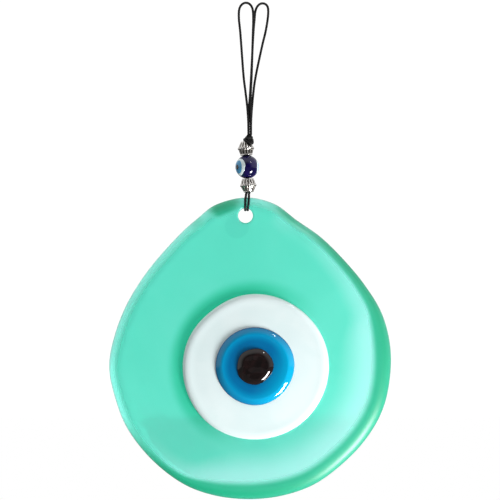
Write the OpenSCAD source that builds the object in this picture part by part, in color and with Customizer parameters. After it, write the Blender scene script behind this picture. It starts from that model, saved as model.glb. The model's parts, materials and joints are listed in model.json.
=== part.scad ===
// Evil eye ornament. A drop of mint glass carries an eye of fused glass discs. It hangs on a doubled
// black cord: two loops at the top, a knot, a small eye bead between two silver spacers, and two bights
// through the hole in the glass. The ornament hangs along Z and its front faces -Y. The origin is the
// point inside the top of the loops, where a nail or a hook carries it.

/* [Glass drop] */
// Width of the drop
drop_w = 96; // [80:0.5:120]
// Height of the drop
drop_h = 102.7; // [86:0.1:126]
// Thickness of the drop
drop_t = 5.5; // [4.6:0.1:7.5]
// How far in from the edge the front face starts to round over
front_round = 5; // [3:0.1:7]
// How far in from the edge the back face starts to round over
back_round = 2.2; // [1.4:0.1:4]
// Height of the drop's widest line above its flat back face
waist_up = 2.1; // [1.4:0.1:3]

/* [Cord hole] */
// Diameter of the hole for the cord
hole_d = 5; // [4.2:0.1:6.4]
// Glass between the hole and the top of the drop
hole_bridge = 3.7; // [3:0.1:5]
// How far the hole lies to the left of the drop's middle
hole_left = 1.6; // [0:0.1:4]
// Chamfer round both mouths of the hole
hole_chamfer = 0.6; // [0.2:0.1:0.8]
// Diameter of the shallow dimple in the back face beside the hole
dimple_d = 8.3; // [6:0.1:10]
// Depth of that dimple
dimple_depth = 0.3; // [0.1:0.05:0.6]
// How far the dimple's centre lies to the left of the hole's
dimple_left = 2.9; // [1:0.1:5]
// How far the dimple's centre lies below the hole's
dimple_down = 3.7; // [1:0.1:5]

/* [Fused eye] */
// Distance of the eye's centre below the top of the drop
eye_down = 57.4; // [48:0.1:66]
// How far the eye's centre lies to the right of the drop's middle
eye_right = 1.8; // [-3:0.1:4]
// How far the blue disc's centre lies to the left of the white disc's
inner_left = 0.2; // [-1:0.1:1]
// How far the blue disc's centre lies above the white disc's
inner_up = 0.4; // [-1:0.1:1]
// Diameter of the white disc
white_d = 49.3; // [41:0.1:60]
// How far the white disc stands out of the glass
white_proud = 1.7; // [1:0.1:2.5]
// How deep the white disc is sunk into the glass
white_sunk = 0.8; // [0.4:0.1:1.5]
// Diameter of the blue disc
blue_d = 26.4; // [22:0.1:32]
// How far the blue disc stands out of the white disc
blue_proud = 1.4; // [0.8:0.1:2]
// Diameter of the pupil
pupil_d = 12.2; // [10:0.1:15]
// How far the pupil's crown stands out of the blue disc
pupil_proud = 1.3; // [0.6:0.1:2]
// How deep the blue disc and the pupil are sunk
inner_sunk = 0.6; // [0.3:0.1:1]

/* [Eye bead] */
// Diameter of the bead
bead_d = 8; // [6.5:0.1:10]
// Half-angle of a bead eye's white ring, seen from the bead's centre
white_angle = 47; // [38:1:52]
// Half-angle of a bead eye's light blue spot
blue_angle = 37; // [26:1:40]
// Half-angle of a bead eye's black dot
dot_angle = 14; // [8:1:20]
// Direction of the first bead eye, from the front towards the right
first_eye_at = -57.5; // [-80:0.5:-40]
// Direction of the second bead eye, from the front towards the right
second_eye_at = 105; // [80:0.5:140]

/* [Silver spacers] */
// Height of a spacer
spacer_h = 4.7; // [3.8:0.1:6]
// Diameter of a spacer over its flange
flange_d = 5.75; // [5.2:0.05:7.5]
// Thickness of the flange
flange_t = 0.7; // [0.4:0.05:1]
// Wall of a spacer at its plain end
spacer_wall = 0.5; // [0.35:0.05:0.7]
// Extra radius of a spacer at the end that faces the bead
bead_end_extra = 0.4; // [0.2:0.05:0.7]
// Number of flutes round each cone
flutes = 14; // [8:1:18]
// Number of notches round the flange
notches = 22; // [12:1:30]

/* [Cord] */
// Diameter of the cord
cord_d = 0.8; // [0.65:0.01:1]
// Lean of the row of beads, its lower end to the right
lean = 3.5; // [0:0.5:6]
// Height of the knot
knot_h = 2.15; // [1.8:0.05:3]
// Distance from the lower spacer to the top of the glass
glass_gap = 1.76; // [1.4:0.02:3]

/* [Clearances] */
// Gap between neighbouring strands
strand_gap = 0.04; // [0.02:0.01:0.1]
// Gap between neighbouring beads along the cord
bead_gap = 0.12; // [0.08:0.01:0.3]
// Clearance round the four strands in a bead
bore_gap = 0.18; // [0.12:0.01:0.3]
// Clearance from a bight to the flat of the glass
bight_gap = 0.25; // [0.2:0.01:0.4]
// Clearance from a bight to the top of the hole
hole_gap = 0.2; // [0.15:0.01:0.3]
// Gap between the strands in the beads and the bights below them
flex_gap = 0.25; // [0.2:0.01:0.4]

/* [Hidden] */
$fn = 48;
ROUND_FN = 96;
EPS = 0.01;

// Colours
MINT = [0.40, 0.89, 0.79];
MILK = [0.93, 0.98, 0.98];
TURKISH_BLUE = [0.02, 0.47, 0.68];
LIGHT_BLUE = [0.30, 0.62, 0.85];
PUPIL_BLACK = [0.12, 0.09, 0.09];
COBALT = [0.06, 0.02, 0.35];
SILVER = [0.72, 0.70, 0.66];
CORD_BLACK = [0.05, 0.05, 0.05];

// The cord: four strands in a square
cord_r = cord_d / 2;
pitch = cord_d + strand_gap;
bore_r = pitch * sqrt(2) / 2 + cord_r + bore_gap;
cord_x = -1.45;
loop_end_z = -44.5;
knot_gap = 0.05;
TUBE_SIDES = 8;

// The row of beads, measured down from the underside of the knot along the leaning cord
row_x = -2.88;
row_z = loop_end_z - knot_h;
bead_half = sqrt(pow(bead_d / 2, 2) - pow(bore_r, 2));
upper_at = bead_gap + spacer_h / 2;
bead_at = 2 * bead_gap + spacer_h + bead_half;
lower_at = 3 * bead_gap + 1.5 * spacer_h + 2 * bead_half;
mouth_at = lower_at + spacer_h / 2;
// The strands in the beads end a little inside the lower spacer, where the cord flexes
flex_up = 0.45;
flex_at = mouth_at - flex_up;
function along_row(s) = [row_x + s * sin(lean), 0, row_z - s * cos(lean)];
mouth = along_row(mouth_at);
flex = along_row(flex_at);

// The knot: its two wraps' thickness and radius, and how far they lie to the left of the cord
lower_wrap_r = 0.8 * cord_d;
lower_wrap_ring = 1.3 * cord_d;
lower_wrap_left = 0.65;
upper_wrap_r = 0.72 * cord_d;
upper_wrap_ring = 1.05 * cord_d;
upper_wrap_left = 0.15;

// A spacer's radii, and its collars, bevels, flutes and notches
plain_end_r = bore_r + spacer_wall;
bead_end_r = plain_end_r + bead_end_extra;
collar_h = 0.35;
collar_step = 0.08;
collar_slope = 0.12;
flange_root = 0.35;
flange_bevel = 0.1;
// The flare of a spacer's mouth leaves a thin lip of its wall
mouth_lip = 0.15;
mouth_flare = spacer_wall - mouth_lip;
flute_r = 0.22;
flute_end = 0.1;
notch_r = 0.17;

// The drop: where it lies, and how deep its faces are
drop_top = mouth[2] - glass_gap;
hole_x = -2.9;
hole_z = drop_top - hole_bridge - hole_d / 2;
drop_x = hole_x + hole_left;
front_y = -drop_t / 2;
back_y = drop_t / 2;
waist_y = back_y - waist_up;
eye_x = drop_x + eye_right;
eye_z = drop_top - eye_down;
dimple_x = hole_x - dimple_left;
dimple_z = hole_z - dimple_down;
inner_x = eye_x - inner_left;
inner_z = eye_z + inner_up;

// Outline of the drop, clockwise from its top as seen from the front: across as a share of half its
// width, down as a share of its height. It is hand made, so its two sides differ.
DROP_OUTLINE = [
    [-0.03, 0], [0.17, 0.021], [0.33, 0.075], [0.5, 0.131], [0.66, 0.204], [0.81, 0.288],
    [0.93, 0.38], [0.99, 0.48], [0.995, 0.58], [0.95, 0.69], [0.845, 0.785], [0.685, 0.87],
    [0.47, 0.947], [0.24, 0.987], [0, 1], [-0.25, 0.988], [-0.48, 0.948], [-0.7, 0.868],
    [-0.87, 0.766], [-0.96, 0.66], [-1, 0.555], [-0.955, 0.447], [-0.86, 0.34], [-0.71, 0.233],
    [-0.51, 0.127], [-0.375, 0.07], [-0.24, 0.023]
];
OUTLINE_STEPS = 3;
FRONT_RINGS = 6;
BACK_RINGS = 4;

// Routes of the two loops, drawn for strands that lie ROUTE_PITCH apart. The left loop lies in front.
ROUTE_PITCH = 0.84;
LEFT_LOOP = [
    [-1.87, -0.42, -44.5], [-1.95, -0.42, -40], [-2.3, -0.45, -35], [-2.95, -0.5, -29.5],
    [-3.6, -0.6, -24], [-4.6, -0.6, -10.5], [-5.1, -0.6, -5.5], [-5.1, -0.6, -2.5],
    [-4.55, -0.6, -0.8], [-3.35, -0.6, 0.2], [-1.95, -0.6, 0.15], [-0.85, -0.6, -0.9],
    [-0.35, -0.6, -2.7], [-0.25, -0.6, -6], [-0.4, -0.6, -11], [-0.8, -0.6, -24],
    [-1.1, -0.5, -30], [-1.25, -0.45, -35], [-1.1, -0.42, -40], [-1.03, -0.42, -44.5]
];
RIGHT_LOOP = [
    [-1.87, 0.42, -44.5], [-1.9, 0.42, -40], [-1.65, 0.45, -35], [-1.3, 0.5, -30],
    [-0.95, 0.6, -24], [-0.25, 0.6, -10.5], [0.15, 0.6, -5.5], [0.45, 0.6, -2.5],
    [1.1, 0.6, -0.8], [2.25, 0.6, 0.2], [3.6, 0.6, 0.2], [4.6, 0.6, -0.75],
    [4.85, 0.6, -2.5], [4.6, 0.6, -5.5], [3.9, 0.6, -9.5], [2.7, 0.6, -14.5],
    [0.5, 0.55, -25], [-0.4, 0.45, -32], [-0.95, 0.42, -39], [-1.03, 0.42, -44.5]
];
LOOP_STEPS = 2;

// Route of half a bight, from the lower spacer's mouth over the edge of the glass and into the hole:
// outwards as a share of the way to the flat of the glass, down as a share of the way to the hole.
HALF_BIGHT = [
    [0, 0], [0, 0.08], [0.12, 0.165], [0.5, 0.225], [0.86, 0.32], [1, 0.47], [1, 0.66],
    [0.98, 0.81], [0.88, 0.915], [0.66, 0.985], [0.4, 1], [0.14, 1]
];
bight_low_z = hole_z + hole_d / 2 - hole_gap - cord_r;
bight_out = drop_t / 2 + bight_gap + cord_r;

// Curves and sweeps
function unit(v) = v / norm(v);
function curve_point(a, b, c, d, t) =
    b + (c - a) * t / 2 + (2 * a - 5 * b + 4 * c - d) * t * t / 2
    + (3 * b - a - 3 * c + d) * t * t * t / 2;
function closed_curve(p, steps) = let (n = len(p)) [
    for (i = [0 : n - 1], j = [0 : steps - 1])
        curve_point(p[(i + n - 1) % n], p[i], p[(i + 1) % n], p[(i + 2) % n], j / steps)
];
function open_curve(p, steps) = let (n = len(p)) concat([
    for (i = [0 : n - 2], j = [0 : steps - 1])
        curve_point(p[max(i - 1, 0)], p[i], p[i + 1], p[min(i + 2, n - 1)], j / steps)
], [p[n - 1]]);
function reversed(p) = [for (i = [len(p) - 1 : -1 : 0]) p[i]];
function heading(p, i) = unit(p[min(i + 1, len(p) - 1)] - p[max(i - 1, 0)]);

// A skin between rings of n points, closed by a flat face at each end
module skin(rings, n) {
    last = (len(rings) - 1) * n;
    sides = [
        for (k = [0 : len(rings) - 2], i = [0 : n - 1])
            let (a = k * n + i, b = k * n + (i + 1) % n)
                each [[a, b, b + n], [a, b + n, a + n]]
    ];
    start_cap = [for (i = [n - 1 : -1 : 0]) i];
    end_cap = [for (i = [0 : n - 1]) last + i];
    polyhedron([for (ring = rings) each ring], concat([start_cap, end_cap], sides));
}

// A round tube along a route. The side vector is one that the route never runs along. The flat end
// faces are square to the first and last headings that are given.
module tube(route, side, first, last) {
    ends = len(route) - 1;
    rings = [
        for (i = [0 : ends])
            let (
                t = i == 0 ? first : i == ends ? last : heading(route, i),
                u = unit(cross(side, t)),
                v = cross(t, u)
            )
            [for (k = [0 : TUBE_SIDES - 1]) let (a = 360 * (k + 0.5) / TUBE_SIDES)
                route[i] + cord_r * (cos(a) * v + sin(a) * u)]
    ];
    skin(rings, TUBE_SIDES);
}

// The drop's edge: how far the skin lies in from the outline, and its depth, from the back face's rim
// round the waist to the front face's rim
function edge_back(a) = [back_round * (1 - cos(a)), waist_y + (back_y - waist_y) * sin(a)];
function edge_front(a) = [front_round * (1 - cos(a)), waist_y - (waist_y - front_y) * sin(a)];
EDGE = concat(
    [for (i = [0 : BACK_RINGS]) edge_back(90 - 90 * i / BACK_RINGS)],
    [for (i = [1 : FRONT_RINGS]) edge_front(90 * i / FRONT_RINGS)]
);
OUTLINE = [
    for (p = closed_curve(DROP_OUTLINE, OUTLINE_STEPS))
        [drop_x + p[0] * drop_w / 2, drop_top - p[1] * drop_h]
];
function inward(i) =
    let (n = len(OUTLINE), along = unit(OUTLINE[(i + 1) % n] - OUTLINE[(i + n - 1) % n]))
        [along[1], -along[0]];

// Stands a shape on the plane y = 0 at a place given in X and Z, with its top towards the front
module across_glass(x, z) {
    translate([x, 0, z]) rotate([90, 0, 0]) children();
}

module drop_blank() {
    rings = [
        for (e = EDGE)
            [for (i = [0 : len(OUTLINE) - 1]) let (p = OUTLINE[i] + e[0] * inward(i)) [p[0], e[1], p[1]]]
    ];
    skin(rings, len(OUTLINE));
}

module hole_cut() {
    mouth_d = hole_d + 4 * hole_chamfer;
    across_glass(hole_x, hole_z) {
        cylinder(h = 2 * drop_t, d = hole_d, center = true, $fn = ROUND_FN);
        for (side = [0, 180])
            rotate([side, 0, 0])
                translate([0, 0, drop_t / 2 - hole_chamfer])
                    cylinder(h = 2 * hole_chamfer, d1 = hole_d, d2 = mouth_d, $fn = ROUND_FN);
    }
}

module dimple_cut() {
    ball_r = (pow(dimple_d / 2, 2) + pow(dimple_depth, 2)) / (2 * dimple_depth);
    translate([dimple_x, back_y - dimple_depth + ball_r, dimple_z]) sphere(r = ball_r, $fn = ROUND_FN);
}

module glass_drop() {
    color(MINT)
        difference() {
            drop_blank();
            hole_cut();
            dimple_cut();
            across_glass(eye_x, eye_z)
                translate([0, 0, -front_y - white_sunk])
                    cylinder(h = drop_t, d = white_d, $fn = ROUND_FN);
        }
}

// A disc with a rounded rim, its flat face down on its seat
module rounded_disc(d, h, rim) {
    rotate_extrude($fn = ROUND_FN) {
        square([d / 2 - rim, h]);
        square([d / 2, h - rim]);
        translate([d / 2 - rim, h - rim]) intersection() {
            circle(r = rim);
            square(rim);
        }
    }
}

white_front = -front_y + white_proud;
blue_front = white_front + blue_proud;
white_rim = 1;
blue_rim = 0.9;
crown_share = 0.8;

module white_disc() {
    color(MILK)
        difference() {
            across_glass(eye_x, eye_z)
                translate([0, 0, -front_y - white_sunk])
                    rounded_disc(white_d, white_proud + white_sunk, white_rim);
            across_glass(inner_x, inner_z)
                translate([0, 0, white_front - inner_sunk])
                    cylinder(h = drop_t, d = blue_d, $fn = ROUND_FN);
        }
}

module blue_disc() {
    color(TURKISH_BLUE)
        across_glass(inner_x, inner_z)
            difference() {
                translate([0, 0, white_front - inner_sunk])
                    rounded_disc(blue_d, blue_proud + inner_sunk, blue_rim);
                translate([0, 0, blue_front - inner_sunk])
                    cylinder(h = drop_t, d = pupil_d, $fn = ROUND_FN);
            }
}

// The pupil is a lens: a short wall and a crown
module pupil_disc() {
    crown = crown_share * pupil_proud;
    crown_r = (pow(pupil_d / 2, 2) + pow(crown, 2)) / (2 * crown);
    height = inner_sunk + pupil_proud;
    color(PUPIL_BLACK)
        across_glass(inner_x, inner_z)
            translate([0, 0, blue_front - inner_sunk])
                intersection() {
                    cylinder(h = height, d = pupil_d, $fn = ROUND_FN);
                    translate([0, 0, height - crown_r]) sphere(r = crown_r, $fn = ROUND_FN);
                }
}

// A thicker cord spreads its strands about the knot's axis
module loop_tube(route) {
    spread = pitch / ROUTE_PITCH;
    spread_route = [for (p = route) [cord_x + spread * (p[0] - cord_x), spread * p[1], p[2]]];
    color(CORD_BLACK) tube(open_curve(spread_route, LOOP_STEPS), [0, 1, 0], [0, 0, 1], [0, 0, -1]);
}

module loop_left() { loop_tube(LEFT_LOOP); }
module loop_right() { loop_tube(RIGHT_LOOP); }

// The front half runs down into the hole and the back half comes up out of it
module bight(offset_x) {
    front_half = [
        for (p = HALF_BIGHT) [
            flex[0] + p[1] * (hole_x - flex[0]) + offset_x,
            -pitch / 2 - p[0] * (bight_out - pitch / 2),
            flex[2] + p[1] * (bight_low_z - flex[2])
        ]
    ];
    back_half = [for (p = reversed(front_half)) [p[0], -p[1], p[2]]];
    color(CORD_BLACK) tube(concat(front_half, back_half), [1, 0, 0], [0, 0, -1], [0, 0, 1]);
}

module bight_left() { bight(-pitch / 2); }
module bight_right() { bight(pitch / 2); }

// Stands a piece on the leaning cord, s below the knot
module on_row(s) {
    translate(along_row(s)) rotate([0, -lean, 0]) children();
}

module bead_strands() {
    length = flex_at - flex_gap;
    color(CORD_BLACK)
        on_row(length)
            for (x = [-1, 1], y = [-1, 1])
                translate([x * pitch / 2, y * pitch / 2, 0]) cylinder(h = length, r = cord_r);
}

// An overhand knot: a wide lower wrap, a smaller upper wrap and a neck that the strands leave from
module knot() {
    neck_r = bore_r - bore_gap + strand_gap;
    lower_x = cord_x - lower_wrap_left;
    upper_x = cord_x - upper_wrap_left;
    color(CORD_BLACK)
        intersection() {
            union() {
                translate([lower_x, 0, row_z + lower_wrap_r]) wrap(lower_wrap_ring, lower_wrap_r);
                translate([upper_x, 0, loop_end_z - knot_gap - upper_wrap_r])
                    wrap(upper_wrap_ring, upper_wrap_r);
                translate([cord_x, 0, row_z]) cylinder(h = knot_h - knot_gap, r = neck_r);
                translate([lower_x, 0, row_z]) cylinder(h = lower_wrap_r, r = lower_wrap_ring);
            }
            on_row(0) cylinder(h = 2 * knot_h, r = 3 * bore_r);
        }
}

module wrap(ring_r, cord_wrap_r) {
    rotate_extrude() translate([ring_r, 0]) circle(r = cord_wrap_r);
}

// A silver spacer stands on its plain end, with the fluted end that faces the bead on top
module spacer() {
    half = spacer_h / 2;
    flange_r = flange_d / 2;
    root_r = flange_r - flange_root;
    color(SILVER)
        difference() {
            rotate_extrude($fn = ROUND_FN)
                polygon([
                    [0, -half], [plain_end_r, -half], [plain_end_r, collar_h - half],
                    [plain_end_r - collar_step, collar_h + collar_slope - half], [root_r, -flange_t / 2],
                    [flange_r - flange_bevel, -flange_t / 2], [flange_r, -flange_t / 4],
                    [flange_r, flange_t / 4], [flange_r - flange_bevel, flange_t / 2],
                    [root_r, flange_t / 2], [bead_end_r - collar_step, half - collar_h - collar_slope],
                    [bead_end_r, half - collar_h],
                    [bead_end_r, half], [0, half]
                ]);
            cylinder(h = 2 * spacer_h, r = bore_r, center = true);
            translate([0, 0, -half - EPS])
                cylinder(h = 3 * mouth_flare, r1 = bore_r + mouth_flare, r2 = bore_r);
            for (i = [0 : flutes - 1])
                rotate(360 * i / flutes) {
                    flute(plain_end_r, root_r, collar_h - half, -flange_t / 2);
                    flute(root_r, bead_end_r, flange_t / 2, half - collar_h);
                }
            for (i = [0 : notches - 1])
                rotate(360 * i / notches)
                    translate([flange_r, 0, 0]) cylinder(h = 2 * flange_t, r = notch_r, center = true);
        }
}

// A round groove down a cone, from radius r_from at height z_from to radius r_to at height z_to
module flute(r_from, r_to, z_from, z_to) {
    run = z_to - z_from;
    slope = atan2(r_to - r_from, run);
    translate([r_from, 0, z_from])
        rotate([0, slope, 0])
            translate([flute_end, 0, flute_end])
                cylinder(h = run / cos(slope) - 2 * flute_end, r = flute_r);
}

module upper_spacer() {
    on_row(upper_at) rotate([180, 0, 0]) spacer();
}

module lower_spacer() {
    on_row(lower_at) spacer();
}

// A bead eye's zone: a plug of the bead's surface, around the direction of the eye
module eye_plug(at, angle, seat) {
    rotate([0, 0, at])
        rotate([90, 0, 0])
            intersection() {
                sphere(d = bead_d, $fn = ROUND_FN);
                translate([0, 0, seat]) cylinder(h = bead_d, r = bead_d / 2 * sin(angle), $fn = ROUND_FN);
            }
}

// How deep each layer is let in at its rim
white_let_in = 0.25;
blue_let_in = 0.2;
dot_let_in = 0.35;

// Where each layer's seat lies, measured from the bead's centre
function seat_at(angle, let_in) = bead_d / 2 * cos(angle) - let_in;
white_seat = seat_at(white_angle, white_let_in);
blue_seat = seat_at(blue_angle, blue_let_in);
dot_seat = seat_at(dot_angle, dot_let_in);

module eye_bead() {
    color(COBALT)
        on_row(bead_at)
            difference() {
                sphere(d = bead_d, $fn = ROUND_FN);
                cylinder(h = 2 * bead_d, r = bore_r, center = true);
                for (at = [first_eye_at, second_eye_at])
                    eye_cut(at, white_angle, white_seat);
            }
}

// The room that a layer takes out of the layer below it
module eye_cut(at, angle, seat) {
    rotate([0, 0, at])
        rotate([90, 0, 0])
            translate([0, 0, seat]) cylinder(h = bead_d, r = bead_d / 2 * sin(angle), $fn = ROUND_FN);
}

module eye_white(at) {
    color(MILK)
        on_row(bead_at)
            difference() {
                eye_plug(at, white_angle, white_seat);
                eye_cut(at, blue_angle, blue_seat);
            }
}

module eye_blue(at) {
    color(LIGHT_BLUE)
        on_row(bead_at)
            difference() {
                eye_plug(at, blue_angle, blue_seat);
                eye_cut(at, dot_angle, dot_seat);
            }
}

module eye_dot(at) {
    color(PUPIL_BLACK) on_row(bead_at) eye_plug(at, dot_angle, dot_seat);
}

glass_drop();
white_disc();
blue_disc();
pupil_disc();
loop_left();
loop_right();
knot();
bead_strands();
bight_left();
bight_right();
upper_spacer();
lower_spacer();
eye_bead();
eye_white(first_eye_at);  // first_eye_white
eye_blue(first_eye_at);  // first_eye_blue
eye_dot(first_eye_at);  // first_eye_dot
eye_white(second_eye_at);  // second_eye_white
eye_blue(second_eye_at);  // second_eye_blue
eye_dot(second_eye_at);  // second_eye_dot
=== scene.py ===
import json
import math

import bmesh
import bpy
import numpy as np
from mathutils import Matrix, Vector, noise


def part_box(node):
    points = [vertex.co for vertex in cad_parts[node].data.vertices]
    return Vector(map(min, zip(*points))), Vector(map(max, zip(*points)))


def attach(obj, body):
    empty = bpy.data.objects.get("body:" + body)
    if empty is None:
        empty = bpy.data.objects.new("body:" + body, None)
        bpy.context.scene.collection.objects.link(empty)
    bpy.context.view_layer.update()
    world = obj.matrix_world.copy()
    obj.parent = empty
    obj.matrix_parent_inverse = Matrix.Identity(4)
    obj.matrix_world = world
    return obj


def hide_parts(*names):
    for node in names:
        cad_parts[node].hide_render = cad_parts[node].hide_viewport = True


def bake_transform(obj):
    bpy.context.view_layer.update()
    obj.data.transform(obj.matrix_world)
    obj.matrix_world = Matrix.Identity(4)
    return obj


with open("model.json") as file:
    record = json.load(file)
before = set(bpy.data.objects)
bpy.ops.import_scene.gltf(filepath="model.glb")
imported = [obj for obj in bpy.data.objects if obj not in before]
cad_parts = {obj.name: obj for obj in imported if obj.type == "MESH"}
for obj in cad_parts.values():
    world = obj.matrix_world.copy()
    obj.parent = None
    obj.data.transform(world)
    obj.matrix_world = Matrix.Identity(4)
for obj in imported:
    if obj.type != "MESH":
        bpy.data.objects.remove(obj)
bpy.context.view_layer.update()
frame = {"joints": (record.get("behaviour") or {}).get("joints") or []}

# Everything is in metres. The ornament hangs along Z, its front faces -Y, and +X is to the right.
MM = 0.001
JOINTS = {joint["name"]: joint for joint in frame["joints"]}

# The cord, with the points of its routes as part.scad has them
CORD_R = 0.4 * MM
PITCH = 0.84 * MM
LEFT_LOOP = MM * np.array([
    (-1.87, -0.42, -44.5), (-1.95, -0.42, -40), (-2.3, -0.45, -35), (-2.95, -0.5, -29.5),
    (-3.6, -0.6, -24), (-4.6, -0.6, -10.5), (-5.1, -0.6, -5.5), (-5.1, -0.6, -2.5),
    (-4.55, -0.6, -0.8), (-3.35, -0.6, 0.2), (-1.95, -0.6, 0.15), (-0.85, -0.6, -0.9),
    (-0.35, -0.6, -2.7), (-0.25, -0.6, -6), (-0.4, -0.6, -11), (-0.8, -0.6, -24),
    (-1.1, -0.5, -30), (-1.25, -0.45, -35), (-1.1, -0.42, -40), (-1.03, -0.42, -44.5),
])
RIGHT_LOOP = MM * np.array([
    (-1.87, 0.42, -44.5), (-1.9, 0.42, -40), (-1.65, 0.45, -35), (-1.3, 0.5, -30),
    (-0.95, 0.6, -24), (-0.25, 0.6, -10.5), (0.15, 0.6, -5.5), (0.45, 0.6, -2.5),
    (1.1, 0.6, -0.8), (2.25, 0.6, 0.2), (3.6, 0.6, 0.2), (4.6, 0.6, -0.75),
    (4.85, 0.6, -2.5), (4.6, 0.6, -5.5), (3.9, 0.6, -9.5), (2.7, 0.6, -14.5),
    (0.5, 0.55, -25), (-0.4, 0.45, -32), (-0.95, 0.42, -39), (-1.03, 0.42, -44.5),
])
# Half a bight, in shares of the way outwards and of the way down to the hole
HALF_BIGHT = [
    (0, 0), (0, 0.08), (0.12, 0.165), (0.5, 0.225), (0.86, 0.32), (1, 0.47), (1, 0.66),
    (0.98, 0.81), (0.88, 0.915), (0.66, 0.985), (0.4, 1), (0.14, 1),
]
PLIES = 3
PLY_TURN = 2.6 * MM
PLY_VALLEY = 0.1
CORD_SIDES = 24
SEEN_R = 1.05 * CORD_R
CORD_STEP = 0.13 * MM

# The glass drop, as part.scad has it
DROP_OUTLINE = [
    (-0.03, 0), (0.17, 0.021), (0.33, 0.075), (0.5, 0.131), (0.66, 0.204), (0.81, 0.288),
    (0.93, 0.38), (0.99, 0.48), (0.995, 0.58), (0.95, 0.69), (0.845, 0.785), (0.685, 0.87),
    (0.47, 0.947), (0.24, 0.987), (0, 1), (-0.25, 0.988), (-0.48, 0.948), (-0.7, 0.868),
    (-0.87, 0.766), (-0.96, 0.66), (-1, 0.555), (-0.955, 0.447), (-0.86, 0.34), (-0.71, 0.233),
    (-0.51, 0.127), (-0.375, 0.07), (-0.24, 0.023),
]
DROP_W = 96 * MM
DROP_H = 102.7 * MM
FRONT_ROUND = 5 * MM
BACK_ROUND = 2.2 * MM
WAIST_UP = 2.1 * MM
HOLE_R = 2.5 * MM
HOLE_RIM = 0.6 * MM
DIMPLE_R = 4.15 * MM
DIMPLE_DEPTH = 0.3 * MM
DIMPLE_LEFT = 2.9 * MM
DIMPLE_DOWN = 3.7 * MM


# ---------------------------------------------------------------- curves and meshes

def curve_point(a, b, c, d, t):
    """A point of the smooth curve through b and c."""
    straight = b + (c - a) * t / 2
    return straight + (2 * a - 5 * b + 4 * c - d) * t * t / 2 + (3 * b - a - 3 * c + d) * t ** 3 / 2


def smooth_curve(points, steps, closed=False):
    """The smooth curve through the points, with that many steps from each to the next."""
    points = np.asarray(points, float)
    count = len(points)
    spans = count if closed else count - 1
    out = []
    for i in range(spans):
        around = [i - 1, i, i + 1, i + 2]
        if closed:
            picks = [points[k % count] for k in around]
        else:
            picks = [points[min(max(k, 0), count - 1)] for k in around]
        out += [curve_point(*picks, j / steps) for j in range(steps)]
    if not closed:
        out.append(points[-1])
    return np.array(out)


def even_steps(points, step, closed=False):
    """The same curve with points an even step apart."""
    if closed:
        points = np.vstack([points, points[:1]])
    along = np.concatenate([[0], np.cumsum(np.linalg.norm(np.diff(points, axis=0), axis=1))])
    count = max(2, round(along[-1] / step))
    places = np.linspace(0, along[-1], count + 1)
    if closed:
        places = places[:-1]
    return np.stack([np.interp(places, along, points[:, k]) for k in range(points.shape[1])], axis=1)


def curve_length(points):
    return float(np.linalg.norm(np.diff(points, axis=0), axis=1).sum())


def unit(v):
    return v / np.linalg.norm(v, axis=-1, keepdims=True)


def mesh_from_rings(name, rings, loop=False, v_values=None, values=None):
    """A closed mesh of quads through rings of points. The last ring joins the first if loop is true, and
    the two end rings are capped otherwise. values holds numbers for each point, by attribute name."""
    rings = np.asarray(rings, float)
    count, sides, _ = rings.shape
    points = [tuple(p) for p in rings.reshape(-1, 3)]
    bands = count if loop else count - 1
    faces = []
    for i in range(bands):
        below = i * sides
        above = ((i + 1) % count) * sides
        for j in range(sides):
            k = (j + 1) % sides
            faces.append((below + j, below + k, above + k, above + j))
    if not loop:
        last = (count - 1) * sides
        points.append(tuple(rings[0].mean(axis=0)))
        points.append(tuple(rings[-1].mean(axis=0)))
        for j in range(sides):
            k = (j + 1) % sides
            faces.append((k, j, len(points) - 2))
            faces.append((last + j, last + k, len(points) - 1))
    mesh = bpy.data.meshes.new(name)
    mesh.from_pydata(points, [], faces)
    if v_values is not None:
        add_uv(mesh, sides, count, v_values)
    for attribute_name, numbers in (values or {}).items():
        flat = np.asarray(numbers, np.float32).reshape(-1)
        ends = [] if loop else [flat[:sides].mean(), flat[-sides:].mean()]
        layer = mesh.attributes.new(attribute_name, "FLOAT", "POINT")
        layer.data.foreach_set("value", np.concatenate([flat, ends]).astype(np.float32))
    face_outwards(mesh)
    obj = bpy.data.objects.new(name, mesh)
    bpy.context.scene.collection.objects.link(obj)
    return obj


def add_uv(mesh, sides, count, v_values):
    """U runs once round a ring and V is the value given for the ring."""
    layer = mesh.uv_layers.new(name="along")
    for face in mesh.polygons:
        corners = [mesh.loops[k].vertex_index for k in face.loop_indices]
        columns = [c % sides for c in corners if c < count * sides]
        wraps = max(columns) - min(columns) > sides / 2
        for k, c in zip(face.loop_indices, corners):
            if c < count * sides:
                column = c % sides
                u = (column + sides if wraps and column < sides / 2 else column) / sides
                layer.data[k].uv = (u, v_values[c // sides])
            else:
                layer.data[k].uv = (0.5, v_values[0] if c == count * sides else v_values[-1])


def face_outwards(mesh):
    work = bmesh.new()
    work.from_mesh(mesh)
    bmesh.ops.recalc_face_normals(work, faces=work.faces)
    work.to_mesh(mesh)
    work.free()
    mesh.shade_smooth()


def join(name, pieces):
    """One object of several."""
    work = bmesh.new()
    for piece in pieces:
        work.from_mesh(piece.data)
    mesh = bpy.data.meshes.new(name)
    work.to_mesh(mesh)
    work.free()
    mesh.shade_smooth()
    for piece in pieces:
        bpy.data.objects.remove(piece)
    obj = bpy.data.objects.new(name, mesh)
    bpy.context.scene.collection.objects.link(obj)
    return obj


def sweep_frames(route, side):
    """Headings along a route and two directions square to each, carried along without twisting."""
    headings = np.empty_like(route)
    headings[1:-1] = route[2:] - route[:-2]
    headings[0] = route[1] - route[0]
    headings[-1] = route[-1] - route[-2]
    headings = unit(headings)
    u = np.array(side, float)
    across = []
    for t in headings:
        u = u - t * (u @ t)
        u = u / np.linalg.norm(u)
        across.append(u)
    across = np.array(across)
    return headings, across, np.cross(headings, across)


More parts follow.
